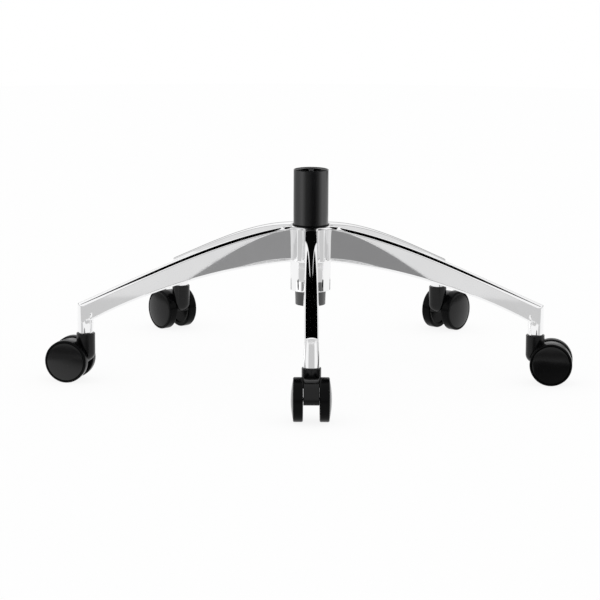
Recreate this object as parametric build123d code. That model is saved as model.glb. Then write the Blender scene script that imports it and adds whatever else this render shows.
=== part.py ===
from build123d import *
import os
from math import radians, sin, sqrt, tan

# Five-star office chair base: a polished cast base on five twin-wheel casters, with its gas-lift column.
# Sizes are in millimetres. Heights are worked out above the floor, and every piece is moved down at the end,
# so that the origin is the centre of the column's top rim and the floor is at -column_top.

# Base casting, in plan
base_radius = 332.5            # column axis to each caster stem
arm_count = 5
front_arm_angle = -90.0        # the first arm points along -Y
arm_foot_width = 21.8          # width of an arm at its lower edge
arm_draft = 3.0                # degrees that each side of an arm leans in towards the top
crown_radius = 14.0            # round of an arm's top, across the arm
shoulder_round = 2.2
foot_round = 3.5
hub_radius = 32.0
boss_radius = 29.0
leg_margin = 0.1               # leg's side outside the arm's lower edge
leg_corner = 7.0               # round of the leg's two outer corners
socket_boss_radius = 10.5
hub_rim_round = 3.5
boss_rim_round = 1.0
rim_round = 0.5                # small rounds and chamfers on turned pieces
blade_root_bite = 1.0          # blade's inner end inside the column's outline
blade_overrun = 4.0            # blade's outer end past the leg's face, before it is trimmed
blade_sections = 8
cut_overrun = 1.0              # cutters' ends past the faces that they cut

# Heights, each one measured from the piece below it
wheel_diameter = 60.0
swivel_headroom = 9.3          # wheel top to the leg's foot
leg_drop = 10.6                # leg's foot up to the arm's lower edge at the tip
tip_depth = 31.0               # arm's height at its tip
arm_rise = 76.3                # arm's lower edge, from its tip up to the hub
hub_depth = 50.8
boss_depth = 43.0
column_tail = 21.2             # column's end below the boss
column_exposed = 80.0          # column above the hub

# Slope of an arm's upper and lower edges, where it leaves the hub and at its tip
crown_fall_root = 0.108
crown_fall_tip = 0.383
foot_fall_root = 0.047
foot_fall_tip = 0.466

# Column tube
column_radius = 25.0
column_wall = 2.0
column_taper = 1.66            # degrees, from the dust ring's top down
dust_ring_width = 1.3
dust_ring_height = 2.0
end_plate_recess = 2.5
end_plate_thickness = 3.0
bush_length = 65.0
bush_setback = 0.5

# Gas spring
cylinder_radius = 14.0
cylinder_bore = 12.0
cylinder_tip_radius = 13.0
cylinder_taper_length = 45.0
cylinder_setback = 4.0         # cylinder's top below the column's rim
cylinder_roof = 6.0            # solid length between the bore and the taper
cylinder_lip = 1.5
cylinder_lip_bore = 9.0
rod_radius = 5.0
rod_spigot_radius = 4.0
rod_piston_length = 8.0
piston_headroom = 4.0
gland_length = 10.0
pin_radius = 4.0
pin_stand = 3.5                # release pin above the cylinder's top
pin_travel = 3.0
washer_radius = 12.0
washer_thickness = 1.0
ball_radius = 1.5
ball_count = 10
ball_pitch_radius = 8.8
cage_thickness = 1.6
buffer_radius = 11.0
buffer_length = 10.0
clip_radius = 9.0
clip_thickness = 1.2
clip_groove_depth = 1.0

# Casters
caster_trail = 23.0            # stem axis to wheel axle
wheel_gap = 22.2               # between the two wheels of a caster
tread_width = 13.4
tread_round = 1.8
rim_wall = 6.4
web_thickness = 2.6
web_inset = 2.0
wheel_hub_radius = 6.5
wheel_hub_length = 10.6
cap_radius = 26.6
cap_seat_depth = 2.4
cap_dome = 3.0
cap_wall = 1.6
cap_edge_round = 0.8
hood_side_gap = 0.5
hood_undercut = 1.5            # hood's back inside the wheels' outline
hood_wheel_gap = 1.2           # neck's clearance round the wheels
hood_edge_round = 1.0
hood_skirt_drop = 1.0          # skirt's lower edge below the axle
neck_radius = 13.2
neck_foot_round = 12.0
neck_gap = 0.5                 # hood's top below the leg's foot
axle_boss_radius = 8.0
axle_radius = 3.0
stem_radius = 5.5
stem_in_leg = 26.0
stem_in_hood = 24.0
stem_flange_radius = 8.4
stem_flange_thickness = 1.5
stem_barb_radius = 6.1
stem_barb_length = 3.0
stem_socket_spare = 2.0
grip_ring_drop = 5.0           # ring's top below the stem's top
grip_ring_height = 3.0
grip_ring_wall = 0.9
grip_ring_gap_angle = 30.0

# Fits
running_clearance = 0.05
seat_clearance = 0.02
stop_clearance = 0.1

# Heights above the floor, worked out from the sizes above
wheel_radius = wheel_diameter / 2
leg_foot = wheel_diameter + swivel_headroom
tip_foot = leg_foot + leg_drop
tip_crown = tip_foot + tip_depth
hub_foot = tip_foot + arm_rise
hub_top = hub_foot + hub_depth
boss_foot = hub_foot - boss_depth
column_foot = boss_foot - column_tail
column_top = hub_top + column_exposed
taper_top = hub_top + dust_ring_height

# Heights inside the column, from its foot up
plate_foot = column_foot + end_plate_recess
plate_top = plate_foot + end_plate_thickness
ball_height = plate_top + washer_thickness + ball_radius
buffer_foot = ball_height + ball_radius + washer_thickness
cylinder_foot = buffer_foot + buffer_length
cylinder_top = column_top - cylinder_setback
cylinder_roof_foot = cylinder_top - cylinder_taper_length - cylinder_roof
piston_foot = cylinder_roof_foot - piston_headroom - rod_piston_length

# Sizes in plan
leg_outer = base_radius + socket_boss_radius
leg_width = arm_foot_width + 2 * leg_margin

# Each caster's place, and the heading of its trail as the photograph shows it, in degrees
casters = {
    "front": (front_arm_angle, -90.0),
    "right": (front_arm_angle + 360 / arm_count, -5.4),
    "rear_right": (front_arm_angle + 2 * 360 / arm_count, 53.0),
    "rear_left": (front_arm_angle + 3 * 360 / arm_count, 127.0),
    "left": (front_arm_angle + 4 * 360 / arm_count, 166.0),
}


def write(name, shape):
    """Write one piece, moved so that the origin is the centre of the column's top rim."""
    shape.label = name
    export_step(Pos(0, 0, -column_top) * shape, f"parts/{name}.step")


def rod(radius, low, high):
    """A plain cylinder about the vertical axis, between two heights."""
    return Pos(0, 0, (low + high) / 2) * Cylinder(radius, high - low)


def bore(radius, low, high):
    """A cutter for a round hole about the vertical axis, open at both heights."""
    return rod(radius, low - cut_overrun, high + cut_overrun)


def ring(inner, outer, low, high):
    """A plain ring about the vertical axis, between two heights."""
    return rod(outer, low, high) - bore(inner, low, high)


def turned(points):
    """A solid turned about the vertical axis from (radius, height) points."""
    outline = Polyline(*[(radius, 0, height) for radius, height in points], close=True)
    return revolve(make_face(outline), Axis.Z)


def eased(distance, start, end, start_value, start_slope, end_value, end_slope):
    """Cubic between two distances with the given value and slope at each."""
    span = end - start
    u = (distance - start) / span
    from_start = (2 * u**3 - 3 * u**2 + 1) * start_value + (u**3 - 2 * u**2 + u) * span * start_slope
    from_end = (3 * u**2 - 2 * u**3) * end_value + (u**3 - u**2) * span * end_slope
    return from_start + from_end


def crown_height(distance):
    """Height of an arm's ridge, at a distance out from the column's axis."""
    return eased(distance, hub_radius, leg_outer, hub_top, -crown_fall_root, tip_crown, -crown_fall_tip)


def foot_height(distance):
    """Height of an arm's lower edge, at a distance out from the column's axis."""
    return eased(distance, hub_radius, leg_outer, hub_foot, -foot_fall_root, tip_foot, -foot_fall_tip)


def arm_section(distance):
    """An arm's cross-section: a drafted blade with a crowned top and rounded lower corners."""
    foot, crown = foot_height(distance), crown_height(distance)
    lean = tan(radians(arm_draft))
    half_foot = arm_foot_width / 2
    half_top = half_foot - lean * (crown - foot)
    shoulder = crown - (crown_radius - sqrt(crown_radius**2 - half_top**2))
    outline = (
        Line((-half_top, shoulder), (-half_foot, foot))
        + Line((-half_foot, foot), (half_foot, foot))
        + Line((half_foot, foot), (half_top, shoulder))
        + ThreePointArc((half_top, shoulder), (0, crown), (-half_top, shoulder))
    )
    face = make_face(outline)
    corners = face.vertices().sort_by(Axis.Y)
    face = fillet(corners[2:], shoulder_round)
    corners = face.vertices().sort_by(Axis.Y)
    face = fillet(corners[:2], foot_round)
    return Plane(origin=(distance, 0, 0), x_dir=(0, 1, 0), z_dir=(1, 0, 0)) * face


def blade():
    """One arm along +X, lofted through its sections from inside the hub to past the leg's outer face."""
    root = column_radius - blade_root_bite
    step = (leg_outer + blade_overrun - root) / (blade_sections - 1)
    return loft([arm_section(root + step * index) for index in range(blade_sections)])


def arm():
    """One arm with its leg and stem socket, along +X."""
    leg_length = 2 * leg_corner
    leg_plan = Pos(leg_outer - leg_length / 2, 0, 0) * Rectangle(leg_length, leg_width)
    leg_plan = fillet(leg_plan.vertices().sort_by(Axis.X)[2:], leg_corner)
    leg_top = (tip_foot + tip_crown) / 2
    leg = Pos(0, 0, leg_foot) * extrude(leg_plan, leg_top - leg_foot)
    boss = Pos(base_radius, 0, 0) * rod(socket_boss_radius, leg_foot, leg_top)
    trim_plan = Pos(leg_outer / 2, 0, 0) * Rectangle(leg_outer, leg_width)
    trim_plan = fillet(trim_plan.vertices().sort_by(Axis.X)[2:], leg_corner)
    trimmed = blade() & (Pos(0, 0, leg_foot) * extrude(trim_plan, hub_top))
    return trimmed + leg + boss


def column_outer(height):
    """Radius of the column's outside at a height: straight above the dust ring and tapered below."""
    below = max(0.0, taper_top - height)
    return column_radius - below * tan(radians(column_taper))


def column_cavity(low, high, clearance):
    """The space inside the column tube between two heights, less a clearance."""
    inside = column_wall + clearance
    points = [(0, low), (column_outer(low) - inside, low)]
    if low < taper_top < high:
        points.append((column_radius - inside, taper_top))
    points += [(column_outer(high) - inside, high), (0, high)]
    return turned(points)


def stem_outline(swell):
    """(radius, height) points of a caster's stem, from its barb up, with every face moved out by swell."""
    flange_foot = leg_foot - stem_flange_thickness
    barb_foot = leg_foot - stem_in_hood
    barb_top = barb_foot + stem_barb_length
    return [
        (0, barb_foot - swell),
        (stem_barb_radius + swell, barb_foot - swell),
        (stem_barb_radius + swell, barb_top + swell),
        (stem_radius + swell, barb_top + swell),
        (stem_radius + swell, flange_foot - swell),
        (stem_flange_radius + swell, flange_foot - swell),
        (stem_flange_radius + swell, leg_foot),
    ]


def star_base():
    """The one-piece casting: hub, boss, five arms and five legs, bored for the column and the stems."""
    hub = rod(hub_radius, hub_foot, hub_top)
    hub = fillet(hub.edges().filter_by(GeomType.CIRCLE), hub_rim_round)
    boss = rod(boss_radius, boss_foot, hub_top)
    boss = fillet(boss.edges().filter_by(GeomType.CIRCLE).sort_by(Axis.Z)[0], boss_rim_round)
    casting = hub + boss
    one_arm = arm()
    for heading, _ in casters.values():
        casting += Rot(0, 0, heading) * one_arm
    casting -= rod(leg_outer, hub_top, hub_top + hub_depth)
    bore_foot = boss_foot - cut_overrun
    bore_mouth = hub_top + cut_overrun
    casting -= turned([
        (0, bore_foot),
        (column_outer(bore_foot) + seat_clearance, bore_foot),
        (column_outer(bore_mouth) + seat_clearance, bore_mouth),
        (0, bore_mouth),
    ])
    socket = rod(stem_radius + running_clearance, leg_foot, leg_foot + stem_in_leg + stem_socket_spare)
    for heading, _ in casters.values():
        casting -= Rot(0, 0, heading) * Pos(base_radius, 0, 0) * socket
    return casting


def column_tube():
    """The gas lift's outer tube, straight above the dust ring and tapered where the hub holds it."""
    return turned([
        (column_outer(column_foot) - column_wall, column_foot),
        (column_outer(column_foot), column_foot),
        (column_radius, taper_top),
        (column_radius, column_top - rim_round),
        (column_radius - rim_round, column_top),
        (column_radius - column_wall, column_top),
        (column_radius - column_wall, taper_top),
    ])


def dust_ring():
    """Thin ring round the tube's foot, sloped on its top."""
    inner = column_radius + running_clearance
    outer = column_radius + dust_ring_width
    return turned([
        (inner, hub_top),
        (outer, hub_top),
        (outer, hub_top + dust_ring_height / 2),
        (inner, hub_top + dust_ring_height),
    ])


def end_plate():
    """Plate across the tube's lower end, with the hole for the piston rod."""
    plate = column_cavity(plate_foot, plate_top, seat_clearance)
    return plate - bore(rod_radius + running_clearance, plate_foot, plate_top)


def guide_bush():
    """Plastic sleeve in the tube's upper end, in which the gas cylinder slides."""
    low = column_top - bush_length
    high = column_top - bush_setback
    return column_cavity(low, high, seat_clearance) - bore(cylinder_radius + running_clearance, low, high)


def gas_cylinder():
    """The sliding cylinder: open bore with a rolled lip below, seat taper and pin bore above."""
    taper_foot = cylinder_top - cylinder_taper_length
    return turned([
        (cylinder_lip_bore, cylinder_foot),
        (cylinder_radius, cylinder_foot),
        (cylinder_radius, taper_foot),
        (cylinder_tip_radius, cylinder_top),
        (pin_radius + running_clearance, cylinder_top),
        (pin_radius + running_clearance, cylinder_roof_foot),
        (cylinder_bore, cylinder_roof_foot),
        (cylinder_bore, cylinder_foot + cylinder_lip),
        (cylinder_lip_bore, cylinder_foot + cylinder_lip),
    ])


def rod_gland():
    """Seal and guide round the rod, held by the cylinder's lip."""
    foot = cylinder_foot + cylinder_lip
    return ring(rod_radius + running_clearance, cylinder_bore - seat_clearance, foot, foot + gland_length)


def release_pin():
    """Pin that opens the valve when it is pressed down."""
    return rod(pin_radius, cylinder_roof_foot + pin_travel, cylinder_top + pin_stand)


def piston_rod():
    """Rod that stands through the end plate, with the clip's groove below and the piston's spigot above."""
    groove_foot = plate_foot - stop_clearance - clip_thickness
    groove_top = groove_foot + clip_thickness
    groove_radius = rod_radius - clip_groove_depth
    return turned([
        (0, column_foot),
        (rod_radius, column_foot),
        (rod_radius, groove_foot),
        (groove_radius, groove_foot),
        (groove_radius, groove_top),
        (rod_radius, groove_top),
        (rod_radius, piston_foot),
        (rod_spigot_radius, piston_foot),
        (rod_spigot_radius, piston_foot + rod_piston_length),
        (0, piston_foot + rod_piston_length),
    ])


def rod_piston():
    """Piston on the rod's spigot, running in the cylinder's bore."""
    inner = rod_spigot_radius + seat_clearance
    return ring(inner, cylinder_bore - running_clearance, piston_foot, piston_foot + rod_piston_length)


def retaining_clip():
    """Open clip in the rod's groove, under the end plate."""
    top = plate_foot - stop_clearance
    inner = rod_radius - clip_groove_depth + seat_clearance
    clip = ring(inner, clip_radius, top - clip_thickness, top)
    slot = Pos(clip_radius, 0, top) * Box(2 * clip_radius, 2 * inner, 4 * clip_thickness)
    return clip - slot


def thrust_washer(foot):
    """One flat race of the thrust bearing."""
    return ring(rod_radius + running_clearance, washer_radius, foot, foot + washer_thickness)


def bearing_balls():
    """The ring of balls between the two washers, as separate solids in one group."""
    balls = []
    for index in range(ball_count):
        turn = Rot(0, 0, 360 * index / ball_count)
        balls.append(turn * Pos(ball_pitch_radius, 0, ball_height) * Sphere(ball_radius - seat_clearance))
    return Compound(balls)


def bearing_cage():
    """Flat ring that keeps the balls apart."""
    inner = rod_radius + running_clearance
    half = cage_thickness / 2
    cage = ring(inner, washer_radius, ball_height - half, ball_height + half)
    pocket = bore(ball_radius + running_clearance, ball_height - half, ball_height + half)
    for index in range(ball_count):
        cage -= Rot(0, 0, 360 * index / ball_count) * Pos(ball_pitch_radius, 0, 0) * pocket
    return cage


def rubber_buffer():
    """Soft stop on which the cylinder rests when the lift is down."""
    return ring(rod_radius + running_clearance, buffer_radius, buffer_foot, buffer_foot + buffer_length)


def caster_stem():
    """Steel stem: barb and pivot in the hood, flange under the leg, grooved pin up in the leg."""
    ring_top = leg_foot + stem_in_leg - grip_ring_drop
    ring_foot = ring_top - grip_ring_height
    groove = stem_radius - grip_ring_wall
    upper = [
        (stem_radius, leg_foot),
        (stem_radius, ring_foot),
        (groove, ring_foot),
        (groove, ring_top),
        (stem_radius, ring_top),
        (stem_radius, leg_foot + stem_in_leg - rim_round),
        (stem_radius - rim_round, leg_foot + stem_in_leg),
        (0, leg_foot + stem_in_leg),
    ]
    return turned(stem_outline(0) + upper)


def grip_ring():
    """Split ring in the stem's groove."""
    ring_top = leg_foot + stem_in_leg - grip_ring_drop - seat_clearance
    ring_foot = ring_top - grip_ring_height + 2 * seat_clearance
    inner = stem_radius - grip_ring_wall + seat_clearance
    band = ring(inner, stem_radius, ring_foot, ring_top)
    gap = 2 * stem_radius * sin(radians(grip_ring_gap_angle / 2))
    return band - Pos(stem_radius, 0, ring_top) * Box(2 * stem_radius, gap, 4 * grip_ring_height)


def across(shape, side):
    """Lay a solid turned about the vertical axis along the axle, facing out on one side of the hood."""
    return Pos(caster_trail, side * wheel_gap / 2, wheel_radius) * Rot(-90 * side, 0, 0) * shape


def hood():
    """Moulded body between the wheels, with the neck round the stem. The trail runs along +X."""
    width = wheel_gap - 2 * hood_side_gap
    skirt = wheel_radius - hood_skirt_drop
    neck_top = leg_foot - neck_gap
    at_axle = Pos(caster_trail, 0, wheel_radius) * Rot(90, 0, 0)
    disc = at_axle * Cylinder(wheel_radius - hood_undercut, width)
    disc = fillet(disc.edges().filter_by(GeomType.CIRCLE), hood_edge_round)
    upper_half = Pos(caster_trail, 0, skirt + wheel_radius) * Box(4 * wheel_radius, 2 * width, 2 * wheel_radius)
    bridge_top = wheel_radius + sqrt((wheel_radius - hood_undercut) ** 2 - caster_trail**2)
    bridge_height = bridge_top - skirt
    bridge = Pos(caster_trail / 2, 0, skirt + bridge_height / 2) * Box(caster_trail, width, bridge_height)
    neck = rod(neck_radius, skirt, neck_top)
    neck = fillet(neck.edges().filter_by(GeomType.CIRCLE).sort_by(Axis.Z)[-1], hood_edge_round)
    neck = fillet(neck.edges().filter_by(GeomType.CIRCLE).sort_by(Axis.Z)[0], neck_foot_round)
    axle_boss = at_axle * Cylinder(axle_boss_radius, width)
    body = (disc & upper_half) + bridge + neck + axle_boss
    for side in (-1, 1):
        room = rod(wheel_radius + hood_wheel_gap, 0, 2 * tread_width)
        body -= Pos(0, -side * hood_side_gap, 0) * across(room, side)
    body -= turned(stem_outline(running_clearance) + [(0, leg_foot)])
    body -= at_axle * Cylinder(axle_radius + seat_clearance, 2 * width)
    return body


def axle():
    """Pin across the hood, on which both wheels turn."""
    length = wheel_gap + 2 * wheel_hub_length
    pin = Cylinder(axle_radius, length)
    pin = chamfer(pin.edges().filter_by(GeomType.CIRCLE), rim_round)
    return Pos(caster_trail, 0, wheel_radius) * Rot(90, 0, 0) * pin


def wheel():
    """One wheel, turned about the vertical axis with its inner face at height zero."""
    rim_inner = wheel_radius - rim_wall
    hub_bore = axle_radius + running_clearance
    seat = cap_radius + seat_clearance
    seat_foot = tread_width - cap_seat_depth
    body = turned([
        (hub_bore, 0),
        (wheel_hub_radius, 0),
        (wheel_hub_radius, web_inset),
        (rim_inner, web_inset),
        (rim_inner, 0),
        (wheel_radius, 0),
        (wheel_radius, tread_width),
        (seat, tread_width),
        (seat, seat_foot),
        (rim_inner, seat_foot),
        (rim_inner, web_inset + web_thickness),
        (wheel_hub_radius, web_inset + web_thickness),
        (wheel_hub_radius, wheel_hub_length),
        (hub_bore, wheel_hub_length),
    ])
    tread_edges = body.edges().filter_by(GeomType.CIRCLE).sort_by(SortBy.RADIUS)[-2:]
    return fillet(tread_edges, tread_round)


def wheel_cap():
    """Domed shell in the wheel's outer face, in the wheel's own position."""
    foot = tread_width - cap_seat_depth
    inner = cap_radius - cap_wall
    dome_top = tread_width + cap_dome
    outer_sweep = (cap_radius**2 + cap_dome**2) / (2 * cap_dome)
    inner_sweep = (inner**2 + cap_dome**2) / (2 * cap_dome)
    outline = (
        Line((cap_radius, foot), (cap_radius, tread_width))
        + RadiusArc((cap_radius, tread_width), (0, dome_top), -outer_sweep)
        + Line((0, dome_top), (0, dome_top - cap_wall))
        + RadiusArc((0, dome_top - cap_wall), (inner, tread_width - cap_wall), inner_sweep)
        + Line((inner, tread_width - cap_wall), (inner, foot))
        + Line((inner, foot), (cap_radius, foot))
    )
    section = Plane.XZ * make_face(outline)
    corners = [v for v in section.vertices() if v.X > inner and v.Z > foot + cap_seat_depth / 2]
    section = fillet(corners, cap_edge_round)
    return revolve(section, Axis.Z)


def write_caster(name, heading, trail_heading):
    """Write the eight pieces of one caster, standing at its stem and turned to its trail."""
    place = Rot(0, 0, heading) * Pos(base_radius, 0, 0) * Rot(0, 0, trail_heading - heading)
    write(f"stem_{name}", place * caster_stem())
    write(f"grip_ring_{name}", place * grip_ring())
    write(f"hood_{name}", place * hood())
    write(f"axle_{name}", place * axle())
    for hand, side in (("left", 1), ("right", -1)):
        write(f"wheel_{name}_{hand}", place * across(wheel(), side))
        write(f"cap_{name}_{hand}", place * across(wheel_cap(), side))


os.makedirs("parts", exist_ok=True)
write("star_base", star_base())
write("column_tube", column_tube())
write("dust_ring", dust_ring())
write("end_plate", end_plate())
write("guide_bush", guide_bush())
write("gas_cylinder", gas_cylinder())
write("rod_gland", rod_gland())
write("release_pin", release_pin())
write("piston_rod", piston_rod())
write("rod_piston", rod_piston())
write("retaining_clip", retaining_clip())
write("lower_thrust_washer", thrust_washer(plate_top))
write("bearing_balls", bearing_balls())
write("bearing_cage", bearing_cage())
write("upper_thrust_washer", thrust_washer(ball_height + ball_radius))
write("rubber_buffer", rubber_buffer())
for caster_name, (arm_heading, trail) in casters.items():
    write_caster(caster_name, arm_heading, trail)
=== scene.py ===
"""Looks of a five-star office chair base: a polished casting on black twin-wheel casters, with its gas lift.

Sizes are in millimetres above the floor while a piece is shaped. Each finished mesh is then moved into the
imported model's frame, in metres, with the centre of the column's top rim at the origin.
"""

import logging
import math
from dataclasses import dataclass
from enum import Enum
from typing import Iterable, Sequence

import bmesh
import bpy
from mathutils import Matrix, Vector

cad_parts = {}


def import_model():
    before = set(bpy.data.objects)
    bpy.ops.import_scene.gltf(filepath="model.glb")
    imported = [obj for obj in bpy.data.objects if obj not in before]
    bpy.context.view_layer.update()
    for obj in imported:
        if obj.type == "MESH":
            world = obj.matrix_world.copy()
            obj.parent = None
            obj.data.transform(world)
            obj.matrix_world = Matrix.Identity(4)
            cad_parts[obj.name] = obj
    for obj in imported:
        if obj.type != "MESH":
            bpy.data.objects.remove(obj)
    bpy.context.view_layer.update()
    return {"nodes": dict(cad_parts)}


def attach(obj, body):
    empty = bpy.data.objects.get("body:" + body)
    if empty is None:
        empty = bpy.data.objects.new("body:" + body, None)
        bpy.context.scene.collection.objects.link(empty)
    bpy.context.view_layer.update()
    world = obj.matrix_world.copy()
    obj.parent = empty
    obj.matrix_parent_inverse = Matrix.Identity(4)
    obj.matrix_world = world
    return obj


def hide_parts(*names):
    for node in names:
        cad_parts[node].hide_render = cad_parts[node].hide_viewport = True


LOG = logging.getLogger("chair_base")
COLUMN_TOP = 287.0
MILLIMETRE = 0.001
TO_FRAME = Matrix.Scale(MILLIMETRE, 4) @ Matrix.Translation((0.0, 0.0, -COLUMN_TOP))
MERGE = 1e-3
NOISE_RANGE = (0.3, 0.7)

Triple = tuple[float, float, float]
Pair = tuple[float, float]
Stops = tuple[Pair, ...]


def smooth_step(value: float) -> float:
    """Ease a value from 0 to 1 with level ends."""
    held = min(1.0, max(0.0, value))
    return held * held * (3.0 - 2.0 * held)


def mix(start: float, end: float, share: float) -> float:
    """Value part of the way from start to end."""
    return start + (end - start) * share


def on_circle(angle: float, radius: float = 1.0) -> Vector:
    """Point on a circle about the origin, seen from above."""
    return Vector((math.cos(angle), math.sin(angle))) * radius


def grey_ramp(ramp: bpy.types.ShaderNode, stops: Stops) -> None:
    """Set a colour ramp to greys.

    Args:
        ramp: The colour ramp's node.
        stops: Place and brightness of each stop, in order.
    """
    elements = ramp.color_ramp.elements
    while len(elements) < len(stops):
        elements.new(1.0)
    for element, (place, level) in zip(elements, stops):
        element.position = place
        element.color = (level, level, level, 1.0)


def set_inputs(node: bpy.types.Node, **values: object) -> None:
    """Set a node's input sockets by name, with underscores for spaces."""
    for key, value in values.items():
        node.inputs[key.replace("_", " ")].default_value = value


def add_node(tree: bpy.types.NodeTree, kind: str, **values: object) -> bpy.types.Node:
    """Add a node to a tree.

    Args:
        tree: The tree.
        kind: The node's Blender type, without the word ShaderNode.
        values: Values of its input sockets, with underscores for spaces.

    Returns:
        The new node.
    """
    node = tree.nodes.new("ShaderNode" + kind)
    set_inputs(node, **values)
    return node


# Finishes


@dataclass(frozen=True)
class Grain:
    """Noise on a piece's own coordinates.

    Attributes:
        scale: Noise scale, per metre.
        detail: Octaves of noise.
        roughness: How strong the finer octaves are.
        stretch: Scale along each axis before the noise.
    """

    scale: float
    detail: float
    roughness: float = 0.5
    stretch: Triple = (1.0, 1.0, 1.0)


class Graph:
    """Short way to add and join the nodes of one material."""

    def __init__(self, name: str) -> None:
        """Start a material with one Principled shader.

        Args:
            name: The material's name.
        """
        self.material = bpy.data.materials.new(name)
        self.material.use_nodes = True
        self.tree = self.material.node_tree
        self.shader = self.tree.nodes["Principled BSDF"]
        self.surface = self.tree.nodes["Material Output"].inputs["Surface"]

    def add(self, kind: str, **values: object) -> bpy.types.Node:
        """Add a node, as add_node does."""
        return add_node(self.tree, kind, **values)

    def join(self, output: bpy.types.NodeSocket, target: bpy.types.NodeSocket) -> None:
        """Link an output socket to an input socket."""
        self.tree.links.new(output, target)

    def calculate(self, operation: str, left: bpy.types.NodeSocket,
                  right: bpy.types.NodeSocket | float) -> bpy.types.NodeSocket:
        """Work out a value from two others.

        Args:
            operation: The Math node's operation.
            left: First value.
            right: Second value, from a socket or as a number.

        Returns:
            The result's socket.
        """
        node = self.add("Math")
        node.operation = operation
        self.join(left, node.inputs[0])
        if isinstance(right, float):
            node.inputs[1].default_value = right
        else:
            self.join(right, node.inputs[1])
        return node.outputs[0]

    def noise(self, grain: Grain) -> bpy.types.NodeSocket:
        """Noise on the piece's own coordinates.

        Args:
            grain: The noise.

        Returns:
            The noise value's socket.
        """
        place = self.add("TexCoord")
        mapping = self.add("Mapping", Scale=grain.stretch)
        texture = self.add("TexNoise", Scale=grain.scale, Detail=grain.detail,
                           Roughness=grain.roughness)
        self.join(place.outputs["Object"], mapping.inputs["Vector"])
        self.join(mapping.outputs["Vector"], texture.inputs["Vector"])
        return texture.outputs["Fac"]


@dataclass(frozen=True)
class Finish:
    """A procedural finish: its colour, its gloss and its fine relief.

    Attributes:
        name: The material's name.
        light: Lightest base colour.
        shade: Share of the lightest colour that the darkest has.
        mottle: Noise between those colours.
        roughness: Least and greatest roughness.
        wear: Noise between those values.
        relief: Noise of its fine relief.
        strength: Share of the relief that shows.
        depth: The relief's depth, in metres.
        metallic: 1 for bare metal.
        specular: Strength of the clear reflection.
    """

    name: str
    light: Triple
    shade: float
    mottle: Grain
    roughness: Pair
    wear: Grain
    relief: Grain
    strength: float
    depth: float
    metallic: float = 0.0
    specular: float = 0.5

    def build(self) -> bpy.types.Material:
        """Make the finish's material.

        Returns:
            The material.
        """
        graph = Graph(self.name)
        set_inputs(graph.shader, Metallic=self.metallic, Specular_IOR_Level=self.specular)
        tones = graph.add("ValToRGB")
        for element, place, share in zip(tones.color_ramp.elements, NOISE_RANGE, (self.shade, 1.0)):
            element.position = place
            element.color = (*(part * share for part in self.light), 1.0)
        graph.join(graph.noise(self.mottle), tones.inputs["Fac"])
        graph.join(tones.outputs["Color"], graph.shader.inputs["Base Color"])
        worn = graph.add("MapRange", From_Min=NOISE_RANGE[0], From_Max=NOISE_RANGE[1],
                         To_Min=self.roughness[0], To_Max=self.roughness[1])
        graph.join(graph.noise(self.wear), worn.inputs["Value"])
        graph.join(worn.outputs["Result"], graph.shader.inputs["Roughness"])
        bump = graph.add("Bump", Strength=self.strength, Distance=self.depth)
        graph.join(graph.noise(self.relief), bump.inputs["Height"])
        graph.join(bump.outputs["Normal"], graph.shader.inputs["Normal"])
        return graph.material


def moulded_nylon(name: str, light: Triple, roughness: float, strength: float, specular: float) -> Finish:
    """Injection-moulded nylon with a fine grain, of which strength is the share that shows."""
    return Finish(name, light, 0.8, Grain(30.0, 3.0), (roughness * 0.85, roughness * 1.2), Grain(150.0, 4.0),
                  Grain(2600.0, 2.0), strength, 0.00005, specular=specular)


def machined_steel(name: str, light: Triple, roughness: float) -> Finish:
    """Bright steel with fine turning marks across its axis."""
    marks = Grain(40.0, 5.0, 0.7, (1.0, 1.0, 60.0))
    return Finish(name, light, 0.85, Grain(90.0, 3.0), (roughness * 0.7, roughness * 1.4), marks,
                  marks, 0.1, 0.00005, metallic=1.0)


class FinishName(Enum):
    """The finishes of the object's pieces, each with its slot in the record."""

    ALUMINIUM = "polished_aluminium"
    LACQUER = "black_paint"
    NYLON = "black_nylon"
    GLOSS = "black_gloss_plastic"
    WHITE = "white_nylon"
    STEEL = "steel"
    CHROME = "chromed_steel"
    RUBBER = "buffer_rubber"


BLACK_NYLON: Triple = (0.0022, 0.0022, 0.0024)
FINISHES: dict[FinishName, Finish] = {
    # A mirror polish, with the faint ripple that the polishing wheel leaves.
    FinishName.ALUMINIUM: Finish(
        "polished_aluminium", (0.93, 0.93, 0.935), 0.97, Grain(22.0, 3.0), (0.0245, 0.0525), Grain(60.0, 4.0),
        Grain(35.0, 1.0), 0.12, 0.0002, metallic=1.0),
    # Lacquer with a slight orange peel.
    FinishName.LACQUER: Finish(
        "black_lacquer", (0.0055, 0.0055, 0.006), 0.635, Grain(18.0, 2.0), (0.1105, 0.156), Grain(90.0, 3.0),
        Grain(420.0, 2.0), 0.05, 0.0001, specular=0.85),
    FinishName.NYLON: moulded_nylon("satin_black_nylon", BLACK_NYLON, 0.20, 0.05, 0.06),
    FinishName.GLOSS: moulded_nylon("gloss_black_nylon", BLACK_NYLON, 0.16, 0.03, 0.25),
    FinishName.WHITE: moulded_nylon("natural_nylon", (0.62, 0.61, 0.57), 0.42, 0.08, 0.4),
    FinishName.STEEL: machined_steel("machined_steel", (0.52, 0.53, 0.55), 0.32),
    FinishName.CHROME: machined_steel("chromed_steel", (0.66, 0.67, 0.69), 0.10),
    # Matt rubber with a faint bloom.
    FinishName.RUBBER: Finish(
        "buffer_rubber", (0.032, 0.032, 0.033), 0.5625, Grain(70.0, 4.0), (0.6, 0.8), Grain(200.0, 3.0),
        Grain(1500.0, 3.0), 0.15, 0.0001),
}


# Shaping


@dataclass(frozen=True)
class Corner:
    """A corner of a turned outline, with the round that it gets."""

    radius: float
    height: float
    round: float = 0.0
    segments: int = 4


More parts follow.
